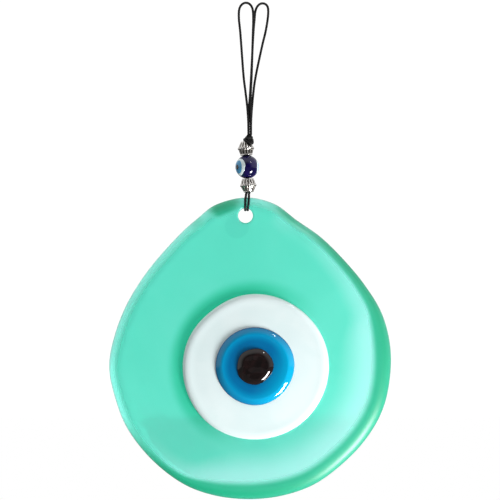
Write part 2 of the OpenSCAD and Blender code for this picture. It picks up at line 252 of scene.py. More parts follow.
def cord_rings(route, radius=SEEN_R, side=(0, 1, 0), start_turn=0.0):
    """Rings of a twisted cord of a few plies along a route. The points of a ring turn with the plies."""
    _, u, v = sweep_frames(route, side)
    along = np.concatenate([[0], np.cumsum(np.linalg.norm(np.diff(route, axis=0), axis=1))])
    places = np.arange(CORD_SIDES) * 2 * math.pi / CORD_SIDES
    ridge = np.abs(np.cos(PLIES * places / 2))
    section = radius * (1 - PLY_VALLEY * (1 - ridge))
    turn = start_turn + along[:, None] * 2 * math.pi / PLY_TURN
    angles = places[None, :] + turn
    across = (section * np.cos(angles))[:, :, None] * u[:, None, :]
    up = (section * np.sin(angles))[:, :, None] * v[:, None, :]
    ridges = np.repeat(ridge[None, :], len(route), axis=0)
    return route[:, None, :] + across + up, along, ridges


def cord_piece(name, route, **shape):
    rings, along, ridges = cord_rings(route, **shape)
    return mesh_from_rings(name, rings, v_values=along / MM, values={"ridge": ridges})


# ---------------------------------------------------------------- materials

def new_material(name):
    """A material, its node tree and its Principled shader."""
    material = bpy.data.materials.new(name)
    material.use_nodes = True
    return material, material.node_tree, material.node_tree.nodes["Principled BSDF"]


def attribute(tree, name):
    node = tree.nodes.new("ShaderNodeAttribute")
    node.attribute_name = name
    return node.outputs["Fac"]


def object_place(tree):
    return tree.nodes.new("ShaderNodeTexCoord").outputs["Object"]


def noise_value(tree, place, scale, detail=3.0, distortion=0.0):
    node = tree.nodes.new("ShaderNodeTexNoise")
    tree.links.new(place, node.inputs["Vector"])
    node.inputs["Scale"].default_value = scale
    node.inputs["Detail"].default_value = detail
    node.inputs["Distortion"].default_value = distortion
    return node.outputs["Fac"]


def stretched(tree, place, factors):
    node = tree.nodes.new("ShaderNodeMapping")
    node.inputs["Scale"].default_value = factors
    tree.links.new(place, node.inputs["Vector"])
    return node.outputs["Vector"]


def ramp(tree, value, stops):
    """A colour or a grey for each value, eased between stops of (place, colour or grey)."""
    node = tree.nodes.new("ShaderNodeValToRGB")
    node.color_ramp.interpolation = "EASE"
    elements = node.color_ramp.elements
    while len(elements) < len(stops):
        elements.new(0.5)
    for element, (place, colour) in zip(elements, stops):
        element.position = place
        element.color = (*colour, 1) if isinstance(colour, tuple) else (colour, colour, colour, 1)
    tree.links.new(value, node.inputs["Fac"])
    return node.outputs["Color"]


def set_input(tree, socket, value):
    if isinstance(value, bpy.types.NodeSocket):
        tree.links.new(value, socket)
    elif isinstance(value, tuple):
        socket.default_value = (*value, 1)
    else:
        socket.default_value = value


def mix(tree, factor, a, b):
    node = tree.nodes.new("ShaderNodeMix")
    node.data_type = "RGBA"
    set_input(tree, node.inputs["Factor"], factor)
    set_input(tree, node.inputs["A"], a)
    set_input(tree, node.inputs["B"], b)
    return node.outputs["Result"]


def maths(tree, how, a, b=0.0):
    node = tree.nodes.new("ShaderNodeMath")
    node.operation = how
    set_input(tree, node.inputs[0], a)
    set_input(tree, node.inputs[1], b)
    return node.outputs["Value"]


def bump(tree, shader, height, distance, strength=1.0):
    node = tree.nodes.new("ShaderNodeBump")
    node.inputs["Distance"].default_value = distance
    node.inputs["Strength"].default_value = strength
    tree.links.new(height, node.inputs["Height"])
    tree.links.new(node.outputs["Normal"], shader.inputs["Normal"])


def vector_maths(tree, how, a, fixed=None):
    node = tree.nodes.new("ShaderNodeVectorMath")
    node.operation = how
    tree.links.new(a, node.inputs[0])
    if fixed is not None:
        node.inputs[1].default_value = fixed
    return node


def flat_offset(tree, place, centre):
    """The way from a centre to a place, in X and Z only."""
    offset = vector_maths(tree, "SUBTRACT", place, centre).outputs["Vector"]
    return vector_maths(tree, "MULTIPLY", offset, (1, 0, 1)).outputs["Vector"]


def length_of(tree, offset):
    return vector_maths(tree, "LENGTH", offset).outputs["Value"]


def lean_of(tree, offset, towards):
    """How far the direction of an offset leans towards another."""
    direction = vector_maths(tree, "NORMALIZE", offset).outputs["Vector"]
    return vector_maths(tree, "DOT_PRODUCT", direction, towards).outputs["Value"]


GLASS_IOR = 1.5
MILKY_CLEARNESS = 0.55
THIN_EDGE_CLEARNESS = 0.35
MINT_DENSITY = 300
BLUE_LIT_SIDE = (0.9, 0, -0.43)


def mint_glass():
    """Milky mint glass. Painted shade makes its colour deep in the thick rim, most at the lower right, and a
    painted shadow deepens it to the upper left of the white disc; painted light makes it pale inside the rim
    and at its edge."""
    material, tree, shader = new_material("mint_glass")
    place = object_place(tree)
    clouds = noise_value(tree, place, 28, 3, 0.6)
    body = ramp(tree, clouds, [(0.3, (0.21, 0.84, 0.71)), (0.7, (0.25, 0.88, 0.76))])
    across_rim = maths(tree, "MULTIPLY", attribute(tree, "rim"), 1 / RIM_SPAN)
    # The attribute deep holds the rim's painted shade at each place, and glow its painted light.
    deep = attribute(tree, "deep")
    # Painted light: a pale stripe inside the rim, strongest towards the lower right.
    rim_light_band = ramp(tree, across_rim, [(0.2, 0.0), (0.33, 1.0), (0.85, 0.0)])
    lit = mix(tree, maths(tree, "MULTIPLY", rim_light_band, attribute(tree, "glow")), body, (0.6, 1.0, 1.0))
    # Painted light: the very edge of the glass is pale on the side away from the lower right, and the glass
    # is clearer there.
    thin_edge = ramp(tree, across_rim, [(0.0, 1.0), (0.15, 0.9), (0.34, 0.0)])
    shallow = maths(tree, "SUBTRACT", 1.0, deep)
    thin_lit_edge = maths(tree, "MULTIPLY", thin_edge, shallow)
    edged = mix(tree, thin_lit_edge, lit, (0.62, 1.0, 0.96))
    # Painted shade: a dark stripe in the rim, deepest at the lower right, with a dark wedge of painted
    # shadow at the top.
    rim_shade_band = ramp(tree, across_rim, [(0.0, 0.8), (0.1, 1.0), (0.19, 0.85), (0.3, 0.0)])
    colour = mix(tree, maths(tree, "MULTIPLY", rim_shade_band, deep), edged, (0.02, 0.52, 0.3))
    # Painted shadow of the white disc on the glass, to its upper left.
    low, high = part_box("white_disc")
    from_disc = flat_offset(tree, place, tuple((low + high) / 2))
    far = length_of(tree, from_disc)
    lee = lean_of(tree, from_disc, DISC_SHADOW_SIDE)
    outside = maths(tree, "MULTIPLY", maths(tree, "SUBTRACT", far, (high.x - low.x) / 2), 1 / DISC_SHADOW_REACH)
    shifted = maths(tree, "ADD", maths(tree, "MULTIPLY", outside, 0.5), 0.5)
    near_disc_shadow = ramp(tree, shifted, [(0.28, 0.0), (0.48, 1.0), (0.65, 0.85), (1.0, 0.0)])
    lee_share = maths(tree, "ADD", maths(tree, "MULTIPLY", lee, 0.5), 0.5)
    shadow_side_share = ramp(tree, lee_share, [(0.25, 0.0), (0.8, 1.0)])
    shaded = mix(tree, maths(tree, "MULTIPLY", near_disc_shadow, shadow_side_share), colour, (0.06, 0.69, 0.46))
    # Painted shade: the glass over the shallow dimple on the back is a little darker.
    dimple = (HOLE[0] - DIMPLE_LEFT, 0, HOLE[2] - DIMPLE_DOWN)
    off_dimple = length_of(tree, flat_offset(tree, place, dimple))
    dimpled = ramp(tree, maths(tree, "MULTIPLY", off_dimple, 0.5 / DIMPLE_R), [(0.46, 0.16), (0.52, 0.0)])
    shaded = mix(tree, dimpled, shaded, (0.12, 0.6, 0.5))
    tree.links.new(shaded, shader.inputs["Base Color"])
    clearness = maths(tree, "ADD", MILKY_CLEARNESS, maths(tree, "MULTIPLY", thin_lit_edge, THIN_EDGE_CLEARNESS))
    tree.links.new(clearness, shader.inputs["Transmission Weight"])
    ground = ramp(tree, across_rim, [(0.0, 0.42), (0.26, 0.36), (0.36, 0.06)])
    smoothed = maths(tree, "SUBTRACT", ground, maths(tree, "MULTIPLY", thin_lit_edge, 0.12))
    tree.links.new(smoothed, shader.inputs["Roughness"])
    shader.inputs["IOR"].default_value = GLASS_IOR
    ripple = noise_value(tree, place, 60, 2, 0.3)
    bump(tree, shader, ripple, 0.2 * MM, 0.25)
    absorb = tree.nodes.new("ShaderNodeVolumeAbsorption")
    absorb.inputs["Color"].default_value = (0.35, 0.93, 0.86, 1)
    absorb.inputs["Density"].default_value = MINT_DENSITY
    tree.links.new(absorb.outputs["Volume"], tree.nodes["Material Output"].inputs["Volume"])
    return material


def white_glass():
    """Opaque white glass, faintly clouded."""
    material, tree, shader = new_material("white_glass")
    place = object_place(tree)
    clouds = noise_value(tree, place, 70, 4, 0.8)
    tint = ramp(tree, clouds, [(0.3, (0.8, 0.94, 0.94)), (0.7, (0.85, 0.97, 0.97))])
    tree.links.new(tint, shader.inputs["Base Color"])
    shader.inputs["Roughness"].default_value = 0.07
    shader.inputs["IOR"].default_value = GLASS_IOR
    bump(tree, shader, noise_value(tree, place, 90, 2), 0.2 * MM, 0.4)
    return material


def blue_glass():
    """Opaque blue glass, darkest at its rim and at the pupil, with painted light on its lower right side."""
    material, tree, shader = new_material("turkish_blue_glass")
    place = object_place(tree)
    reach = attribute(tree, "reach")
    clouds = noise_value(tree, place, 160, 3, 0.8)
    ring = ramp(tree, reach, [
        (0.3, (0.0, 0.08, 0.25)), (0.62, (0.0, 0.14, 0.36)), (0.86, (0.0, 0.32, 0.6)),
        (0.96, (0.0, 0.24, 0.5)), (1.0, (0.0, 0.07, 0.2)),
    ])
    clouded = mix(tree, maths(tree, "MULTIPLY", clouds, 0.25), ring, (0.0, 0.3, 0.6))
    low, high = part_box("blue_disc")
    from_middle = flat_offset(tree, place, tuple((low + high) / 2))
    # Painted light: the blue is paler towards its lower right side.
    lit_side = lean_of(tree, from_middle, BLUE_LIT_SIDE)
    painted_side_light = ramp(tree, maths(tree, "MULTIPLY", lit_side, reach), [(0.1, 0.0), (0.9, 0.4)])
    colour = mix(tree, painted_side_light, clouded, (0.0, 0.52, 0.82))
    tree.links.new(colour, shader.inputs["Base Color"])
    shader.inputs["Roughness"].default_value = 0.05
    shader.inputs["IOR"].default_value = GLASS_IOR
    bump(tree, shader, noise_value(tree, place, 120, 2), 0.2 * MM, 0.4)
    return material


def dark_glass(name, low, high, scale):
    """Opaque glass whose colour drifts between two shades."""
    material, tree, shader = new_material(name)
    place = object_place(tree)
    clouds = noise_value(tree, place, scale, 4, 1.0)
    tint = ramp(tree, clouds, [(0.35, low), (0.7, high)])
    tree.links.new(tint, shader.inputs["Base Color"])
    shader.inputs["Roughness"].default_value = 0.05
    shader.inputs["IOR"].default_value = GLASS_IOR
    bump(tree, shader, noise_value(tree, place, scale, 2), 0.15 * MM, 0.4)
    return material


def antique_silver():
    """Cast silver, dark in its grooves and bright where it is rubbed."""
    material, tree, shader = new_material("antique_silver")
    place = object_place(tree)
    grain = noise_value(tree, place, 2600, 4)
    tone_share = maths(tree, "ADD", attribute(tree, "rubbed"), maths(tree, "MULTIPLY", grain, 0.3))
    tint = ramp(tree, tone_share, [
        (0.42, (0.02, 0.016, 0.013)), (0.68, (0.36, 0.33, 0.3)), (0.98, (0.88, 0.86, 0.83)),
    ])
    tree.links.new(tint, shader.inputs["Base Color"])
    shader.inputs["Metallic"].default_value = 1.0
    rough = ramp(tree, tone_share, [(0.3, 0.55), (0.95, 0.2)])
    tree.links.new(rough, shader.inputs["Roughness"])
    bump(tree, shader, grain, 0.03 * MM, 0.5)
    return material


def black_cord():
    """Waxed cotton: near black, with fine fibres along the plies."""
    material, tree, shader = new_material("black_cord")
    along = tree.nodes.new("ShaderNodeTexCoord").outputs["UV"]
    fibres = noise_value(tree, stretched(tree, along, (60, 3, 1)), 1, 4)
    ridge = attribute(tree, "ridge")
    # The plies are a little lighter on their crowns and darker in the valleys between them.
    tone_share = maths(tree, "MULTIPLY", fibres, ridge)
    tint = ramp(tree, tone_share, [(0.2, (0.002, 0.002, 0.002)), (0.75, (0.012, 0.011, 0.012))])
    tree.links.new(tint, shader.inputs["Base Color"])
    rough = ramp(tree, fibres, [(0.3, 0.42), (0.7, 0.62)])
    tree.links.new(rough, shader.inputs["Roughness"])
    shader.inputs["Specular IOR Level"].default_value = 0.3
    bump(tree, shader, fibres, 0.04 * MM, 0.8)
    return material


# ---------------------------------------------------------------- camera

VIEW_TALL = 170.07 * MM
LENS = 100
SENSOR = 36
VIEW_MIDDLE_X = -1.36 * MM
VIEW_MIDDLE_Z = -83.67 * MM


def make_camera():
    """A long lens, level, in front of the middle of the picture."""
    camera = bpy.data.cameras.new("camera")
    camera.lens = LENS
    camera.sensor_width = SENSOR
    distance = VIEW_TALL * LENS / SENSOR
    obj = bpy.data.objects.new("camera", camera)
    obj.location = (VIEW_MIDDLE_X, -distance, VIEW_MIDDLE_Z)
    obj.rotation_euler = (math.radians(90), 0, 0)
    bpy.context.scene.collection.objects.link(obj)
    bpy.context.scene.camera = obj


# ---------------------------------------------------------------- the cord

KNOT_AXIS = np.array(JOINTS["cord_twist"]["pos_m"])
ROW_AXIS = np.array(JOINTS["bead_spin"]["axis"])
FLEX = np.array(JOINTS["pendant_tilt"]["pos_m"])
HOLE = np.array(JOINTS["pendant_swing"]["pos_m"])
# Heights above the flex: where the strands in the beads end, and between which the bights bend
STRAND_END = 2.2 * MM
BIGHT_SPREAD = 0.14 * MM
BIGHT_LEAN = 0.6 * MM
# How far below the top of its box the knot's wraps start
KNOT_LOWER = 0.9 * MM


def finish_piece(piece, material, slot, body, *nodes):
    """Gives a piece its look, hides the nodes it stands for, and puts it under the body it moves with."""
    piece.data.materials.append(material)
    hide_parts(*nodes)
    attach(piece, body)


def make_loop(name, node, points, cord_material):
    """One of the two loops."""
    route = even_steps(smooth_curve(points, 40), CORD_STEP)
    piece = cord_piece(name, route)
    piece.data.materials.append(cord_material)
    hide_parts(node)
    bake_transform(piece)


def along_row(distance):
    """A point on the axis of the row of beads, that far above the flex."""
    return FLEX + distance * ROW_AXIS


def make_bead_strands(cord_material):
    """The four strands from the knot to just above the flex."""
    low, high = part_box("bead_strands")
    top = (high.z - FLEX[2]) / ROW_AXIS[2]
    pieces = []
    for i, (side, depth) in enumerate([(-1, -1), (1, -1), (1, 1), (-1, 1)]):
        offset = np.array([side * PITCH / 2, depth * PITCH / 2, 0])
        ends = [along_row(top) + offset, along_row(STRAND_END) + offset]
        route = even_steps(np.array(ends), CORD_STEP)
        pieces.append(cord_piece(f"strand_{i}", route, start_turn=i))
    piece = join("strands_in_beads", pieces)
    finish_piece(piece, cord_material, "black_cord", "knotted_cord", "bead_strands")


def make_bight(name, node, side, cord_material):
    """A strand out of the lower spacer, down into the hole in the glass, and back up behind it."""
    box_low, box_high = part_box(node)
    out = box_high.y - CORD_R
    low_z = box_low.z + CORD_R
    front = [along_row(STRAND_END) + np.array([side * PITCH / 2, -PITCH / 2, 0])]
    for outward, down in HALF_BIGHT:
        apart = side * (PITCH / 2 + BIGHT_SPREAD * math.sin(math.pi * min(1, down)))
        lean = BIGHT_LEAN * (down - 0.45) * min(1, 6 * down)
        front.append(np.array([
            FLEX[0] + down * (HOLE[0] - FLEX[0]) + apart + lean,
            -PITCH / 2 - outward * (out - PITCH / 2),
            FLEX[2] + down * (low_z - FLEX[2]),
        ]))
    back = [point * np.array([1, -1, 1]) for point in reversed(front)]
    route = even_steps(smooth_curve(front + back, 12), CORD_STEP)
    piece = cord_piece(name, route, side=(1, 0, 0), start_turn=side)
    piece.data.materials.append(cord_material)
    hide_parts(node)
    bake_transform(piece)


def make_knot(cord_material):
    """Two turns of cord round the four strands, wider below, with a strand across their front and two more
    turns round the front."""
    low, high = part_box("knot")
    turns = 2.1
    points = []
    steps = 60
    for i in range(steps + 1):
        share = i / steps
        angle = math.radians(200) + turns * 2 * math.pi * share
        radius = (0.66 + 0.62 * share ** 0.8) * MM
        middle_x = -1.5 * MM - 0.62 * MM * share
        height = high.z - KNOT_LOWER - (high.z - low.z - KNOT_LOWER - 1.15 * CORD_R) * share
        points.append((middle_x + radius * math.cos(angle), radius * math.sin(angle), height))
    wrap = cord_piece("wrap", even_steps(np.array(points), CORD_STEP), radius=1.06 * CORD_R, side=(0, 0, 1))
    over = MM * np.array([
        (-0.85, 0.5, -45.25), (-0.75, -0.45, -45.4), (-1.2, -1.15, -45.6), (-2.2, -1.5, -45.9),
        (-3.2, -1.0, -46.1), (-3.3, -0.1, -46.2),
    ])
    cross = cord_piece("cross", even_steps(smooth_curve(over, 12), CORD_STEP), side=(0, 0, 1))
    lower_turn = MM * np.array([
        (-3.25, -0.6, -46.0), (-3.0, -1.7, -46.5), (-2.3, -2.15, -47.0), (-1.3, -2.15, -47.5),
        (-0.6, -1.6, -47.5), (-0.45, -0.8, -46.9), (-0.6, -0.1, -46.0),
    ])
    pieces = [wrap, cross]
    middle = np.array([-1.4 * MM, 0, 0])
    for lift, narrower in ((0, 1), (0.6 * MM, 0.68)):
        turn = middle + (smooth_curve(lower_turn, 12) - middle) * (narrower, narrower, 1) + (0, 0, lift)
        pieces.append(cord_piece("turn", even_steps(turn, CORD_STEP), side=(0, 0, 1)))
    for side in (-1, 1):
        for depth in (-1, 1):
            start = KNOT_AXIS + np.array([side * PITCH / 2, depth * PITCH / 2, 0])
            row_x = low.x + 0.9 * MM + side * PITCH / 2
            top_of_row = np.array([row_x, depth * PITCH / 2, low.z + 0.05 * MM])
            route = even_steps(np.array([start, top_of_row]), CORD_STEP)
            pieces.append(cord_piece("core", route))
    piece = join("knot_wraps", pieces)
    finish_piece(piece, cord_material, "black_cord", "knotted_cord", "knot")


# ---------------------------------------------------------------- the glass drop

OUTLINE_POINTS = 384
FACE_STEPS = 56
RIM_STEPS = 14
ROUNDED_SHARE = 0.8
# The painted shade in the rim is widest at the lower right of the drop, and a dark wedge of painted shadow
# stands at its top
DEEP_SIDE = unit(np.array([0.75, -0.66]))
SHADOW_WEDGE_SIDE = unit(np.array([-0.4, 0.92]))
RIM_NARROW = 2.5 * MM
RIM_WIDE = 5.7 * MM
PALE_CORNER = unit(np.array([0.74, -0.67]))
# A painted shadow makes the glass deeper in colour on this side of the white disc
DISC_SHADOW_SIDE = (-0.87, 0, 0.5)
DISC_SHADOW_REACH = 6 * MM
# Distance in from the outline is told apart up to this many widths of the rim
RIM_SPAN = 4.0


def outline_of_drop():
    """Points of the outline in X and Z, and the direction inwards at each."""
    low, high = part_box("glass_drop")
    middle_x = low.x + DROP_W / 2
    shape = smooth_curve(np.array(DROP_OUTLINE, float), 24, closed=True)
    outline = np.stack([middle_x + shape[:, 0] * DROP_W / 2, high.z - shape[:, 1] * DROP_H], axis=1)
    closed_step = curve_length(np.vstack([outline, outline[:1]])) / OUTLINE_POINTS
    outline = even_steps(outline, closed_step, closed=True)[:OUTLINE_POINTS]
    tangent = unit(np.roll(outline, -1, axis=0) - np.roll(outline, 1, axis=0))
    inward = np.stack([tangent[:, 1], -tangent[:, 0]], axis=1)
    return outline, inward


def smooth_step(value, low, high):
    share = np.clip((value - low) / (high - low), 0, 1)
    return share * share * (3 - 2 * share)


def rim_of_drop(outward):
    """For each direction outwards: how wide and deep the painted shade of the rim is, and how bright the
    painted light inside it.
    """
    towards = outward @ DEEP_SIDE
    wedge = smooth_step(outward @ SHADOW_WEDGE_SIDE, 0.94, 1.0)
    width = RIM_NARROW + (RIM_WIDE - RIM_NARROW) * np.maximum(smooth_step(towards, 0.0, 0.75), 0.55 * wedge)
    pale = 0.06 * smooth_step(outward @ PALE_CORNER, 0.93, 1.0)
    deep = np.maximum(smooth_step(towards, -0.5, 0.15) - pale, wedge)
    # Painted light inside the rim, strongest towards the lower right.
    glow = smooth_step(towards, -0.35, 0.6)
    return width, deep, glow


def wave(x, z, size, height):
    return height * noise.noise(Vector((x / size, z / size, 0.37)))


def distance_in(flat, outline):
    """How far in from the outline each point in X and Z is, and which outline point is nearest."""
    span = np.roll(outline, -1, axis=0) - outline
    square = (span ** 2).sum(axis=1)
    gaps = []
    nearest = []
    for part in np.array_split(flat, max(1, len(flat) // 2048)):
        offset = part[:, None, :] - outline[None]
        share = np.clip((offset * span[None]).sum(axis=2) / square, 0, 1)
        gap = np.linalg.norm(offset - share[:, :, None] * span[None], axis=2)
        gaps.append(gap.min(axis=1))
        nearest.append(gap.argmin(axis=1))
    return np.concatenate(gaps), np.concatenate(nearest)


def skin_depth(inset, rounding, face_y, waist_y):
    """The skin's y at a distance in from the outline: a quarter of an ellipse, and then the flat face."""
    share = np.clip(inset / rounding, 0, 1)
    return waist_y + (face_y - waist_y) * np.sqrt(1 - (1 - share) ** 2)


def spoke_shares(lengths, rounding):
    """Places along each spoke, from 0 at the hole's rim to 1 at the outline, closest near the outline."""
    rounded = np.minimum(rounding, ROUNDED_SHARE * lengths)
    angles = np.radians(90) * np.linspace(1, 0, RIM_STEPS + 1)
    edge_part = 1 - rounded[:, None] * (1 - np.cos(angles)) / lengths[:, None]
    face_part = edge_part[:, :1] * np.linspace(0, 1, FACE_STEPS + 1)[:-1] ** 1.3
    return np.concatenate([face_part, edge_part], axis=1).T


def make_drop(material):
    low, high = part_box("glass_drop")
    waist_y = high.y - WAIST_UP
    outline, inward = outline_of_drop()
    hole = np.array([HOLE[0], HOLE[2]])
    spokes = unit(outline - hole)
    inner = hole + (HOLE_R + HOLE_RIM) * spokes
    lengths = np.linalg.norm(outline - inner, axis=1)
    dimple = np.array([HOLE[0] - DIMPLE_LEFT, HOLE[2] - DIMPLE_DOWN])
    dimple_ball = (DIMPLE_R ** 2 + DIMPLE_DEPTH ** 2) / (2 * DIMPLE_DEPTH)

    def face(face_y, rounding, dimpled):
        """Rings from the hole's wall over its rim and across a face to the outline."""
        flat = inner + (outline - inner) * spoke_shares(lengths, rounding)[:, :, None]
        inset, _ = distance_in(flat.reshape(-1, 2), outline)
        y = skin_depth(inset, rounding, face_y, waist_y)
        roll_height = 0.05 * MM * np.clip(inset / rounding - 0.4, 0, 1)
        y = y + roll_height * np.array([wave(x, z, 17 * MM, 1.0) for x, z in flat.reshape(-1, 2)])
        if dimpled:
            away = np.minimum(np.linalg.norm(flat.reshape(-1, 2) - dimple, axis=1), DIMPLE_R)
            y = y - np.sqrt(dimple_ball ** 2 - away ** 2) + (dimple_ball - DIMPLE_DEPTH)
        y = y.reshape(flat.shape[:2])
        inwards = math.copysign(HOLE_RIM, -face_y)
        rim = []
        for angle in np.radians(90) * np.linspace(0, 1, 7)[:-1]:
            across = hole + (HOLE_R + HOLE_RIM * (1 - math.cos(angle))) * spokes
            rim.append(np.insert(across, 1, y[0] + inwards * (1 - math.sin(angle)), axis=1))
        return rim + [np.insert(ring, 1, depth, axis=1) for ring, depth in zip(flat, y)]

    front = face(low.y, FRONT_ROUND, False)
    back = face(high.y, BACK_ROUND, True)
    rings = np.array(front + back[::-1][1:])
    inset, nearest = distance_in(rings[:, :, [0, 2]].reshape(-1, 2), outline)
    # deep carries the rim's painted shade, and glow its painted light.
    width, deep, glow = rim_of_drop(-inward)
    rim = np.minimum(inset / width[nearest], RIM_SPAN)
    values = {"rim": rim, "deep": deep[nearest], "glow": glow[nearest]}
    piece = mesh_from_rings("mint_drop", rings, loop=True, values=values)
    finish_piece(piece, material, "mint_glass", "pendant", "glass_drop")


# ---------------------------------------------------------------- the fused eye

def disc_rings(node, profile, uneven, sides=192):
    """Rings of a disc that stands in front of the plane y = 0. The profile is a list of (how far in from the
    rim, y), from the middle of the front round to the middle of the back."""
    low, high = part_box(node)
    middle = (low + high) / 2
    radius = (high.x - low.x) / 2
    angles = np.arange(sides) * 2 * math.pi / sides
    bumps = np.array([uneven(a) for a in angles])
    rings = []
    reach = []
    for inset, y in profile:
        r = radius - inset
        scale = bumps * (r / radius)
        rings.append(np.stack([
            middle.x + (r + scale) * np.cos(angles),
            np.full(sides, y),
            middle.z + (r + scale) * np.sin(angles),
        ], axis=1))
        reach.append(np.full(sides, r / radius))
    return np.array(rings), np.array(reach)


def rounded_profile(node, rim_in, rim_deep, lip=0.0, fullness=2.0):
    """From the middle of the front, over the rim and down the side, to the middle of the back. The rim is
    round at a fullness of 2 and nearer to a bevel below that."""
    low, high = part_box(node)
    radius = (high.x - low.x) / 2
    face = [(radius * (1 - share), low.y + lip) for share in np.linspace(0.01, 1 - rim_in / radius, 24)[:-2]]
    face += [(rim_in * 1.12, low.y + lip * 0.4)]
    rim = []
    for place in np.linspace(1, 0, 14):
        angle = math.radians(90) * place
        across = max(0.0, math.cos(angle)) ** (2 / fullness)
        upwards = math.sin(angle) ** (2 / fullness)
        rim.append((rim_in * (1 - across), low.y + rim_deep * (1 - upwards)))
    side = [(0.0, y) for y in np.linspace(low.y + rim_deep, high.y, 5)[1:]]
    back = [(radius * (1 - share), high.y) for share in np.linspace(1, 0.01, 8)[1:]]
    return face + rim + side + back


def roll(rings, node, size, height):
    """Gives the front of a disc the slight unevenness of fused glass."""
    low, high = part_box(node)
    out = rings.copy()
    depth = high.y - low.y
    for i in range(out.shape[0]):
        for j in range(out.shape[1]):
            x, y, z = out[i, j]
            share = max(0.0, min(1.0, (high.y - y) / depth * 2 - 1))
            out[i, j, 1] = y + share * wave(x, z, size, height)
    return out


def make_white_disc(material):
    def uneven(a):
        flat = math.exp(-((a - math.radians(128)) / 0.35) ** 2)
        waves = 0.12 * math.sin(2 * a + 0.6) + 0.09 * math.sin(3 * a + 2) + 0.05 * math.sin(5 * a)
        return MM * (waves - 0.45 * flat)
    profile = rounded_profile("white_disc", 2.6 * MM, 1.6 * MM, 0.07 * MM, 2.7)
    rings, _ = disc_rings("white_disc", profile, uneven, 256)
    piece = mesh_from_rings("white_eye", roll(rings, "white_disc", 9 * MM, 0.06 * MM))
    finish_piece(piece, material, "white_glass", "pendant", "white_disc")


def make_blue_disc(material):
    def uneven(a):
        return MM * (0.1 * math.sin(2 * a + 1.1) + 0.07 * math.sin(3 * a) + 0.05 * math.sin(4 * a + 0.7))
    profile = rounded_profile("blue_disc", 2.3 * MM, 1.4 * MM, 0.03 * MM, 1.35)
    rings, reach = disc_rings("blue_disc", profile, uneven, 192)
    rolled = roll(rings, "blue_disc", 6 * MM, 0.05 * MM)
    piece = mesh_from_rings("blue_eye", rolled, values={"reach": reach})
    finish_piece(piece, material, "turkish_blue_glass", "pendant", "blue_disc")


def make_pupil(material):
    def uneven(a):
        return MM * (0.16 * math.sin(2 * a + 0.2) + 0.1 * math.sin(3 * a + 1) + 0.09 * math.sin(5 * a + 2))
    profile = rounded_profile("pupil_disc", 1.9 * MM, 1.2 * MM, 0.0, 1.35)
    rings, _ = disc_rings("pupil_disc", profile, uneven, 144)
    piece = mesh_from_rings("pupil", roll(rings, "pupil_disc", 3.2 * MM, 0.12 * MM))
    finish_piece(piece, material, "black_glass", "pendant", "pupil_disc")


# ---------------------------------------------------------------- the eye bead

BORE_R = 1.174 * MM
# How deep the layers of an eye are let into the bead
LET_IN = 0.3 * MM
ROW_X = np.array([ROW_AXIS[2], 0, -ROW_AXIS[0]])
ROW_Y = np.array([0, 1, 0])


def on_row(points, centre):
    """Points given about the row's own axes, moved to a centre on the row."""
    points = np.asarray(points, float)
    return centre + points[..., :1] * ROW_X + points[..., 1:2] * ROW_Y + points[..., 2:] * ROW_AXIS


def turned(profile, sides):
    """Rings round the row's axis through a profile of (radius, height)."""
    angles = np.arange(sides) * 2 * math.pi / sides
    return np.array([
        np.stack([r * np.cos(angles), r * np.sin(angles), np.full(sides, h)], axis=1) for r, h in profile
    ])


def make_bead(material):
    centre = np.array(JOINTS["bead_spin"]["pos_m"])
    low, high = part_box("eye_bead")
    radius = (high.y - low.y) / 2
    mouth = 0.18 * MM
    start = math.asin((BORE_R + mouth) / radius)
    profile = [(radius * math.sin(a), radius * math.cos(a)) for a in np.linspace(start, math.pi - start, 64)]
    bottom = profile[-1][1]
    for place in np.linspace(0, 1, 5)[1:]:
        angle = math.radians(90) * place
        profile.append((BORE_R + mouth * (1 - math.sin(angle)), bottom + mouth * (1 - math.cos(angle))))
    for place in np.linspace(1, 0, 5)[:-1]:
        angle = math.radians(90) * place
        profile.append((BORE_R + mouth * (1 - math.sin(angle)), -bottom - mouth * (1 - math.cos(angle))))
    rings = on_row(turned(profile, 96), centre)
    piece = mesh_from_rings("cobalt_bead", rings, loop=True)
    finish_piece(piece, material, "cobalt_glass", "bead", "eye_bead")
    return centre, radius


def make_bead_eye_layer(name, node, slot, material, centre, direction, radius, half_angle, proud, phase):
    """A layer of a bead eye: a cap of glass, let into the bead, that stands a little proud of it."""
    side = unit(np.cross(direction, ROW_AXIS))
    up = np.cross(side, direction)
    sides = 72
    rings = []
    angles = np.arange(sides) * 2 * math.pi / sides
    uneven = 1 + 0.035 * np.sin(2 * angles + phase) + 0.02 * np.sin(3 * angles + 2 * phase)

    def add_ring(height, share):
        lean = half_angle * share * uneven
        rings.append(height * np.cos(lean)[:, None] * direction
                     + (height * np.sin(lean) * np.cos(angles))[:, None] * side
                     + (height * np.sin(lean) * np.sin(angles))[:, None] * up)

    for share in np.linspace(0.02, 1, 22):
        add_ring(radius + proud * (1 - share ** 6), share)
    for share in (0.97, 0.5, 0.02):
        add_ring(radius - LET_IN, share)
    piece = mesh_from_rings(name, centre + np.array(rings))
    finish_piece(piece, material, slot, "bead", node)


def make_bead_eyes(centre, radius, white, light_blue, black):
    layers = [
        ("white", "white_glass", white, 46.5, 0.035 * MM),
        ("blue", "light_blue_glass", light_blue, 36, 0.065 * MM),
        ("dot", "black_glass", black, 14.5, 0.095 * MM),
    ]
    for eye in ("first_eye", "second_eye"):
        low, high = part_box(f"{eye}_dot")
        direction = unit(np.array((low + high) / 2) - centre)
        for i, (layer, slot, material, half_angle, proud) in enumerate(layers):
            make_bead_eye_layer(f"{eye}_{layer}_glass", f"{eye}_{layer}", slot, material, centre, direction,
                                radius, math.radians(half_angle), proud, i * 1.3 + len(eye))


# ---------------------------------------------------------------- the silver spacers

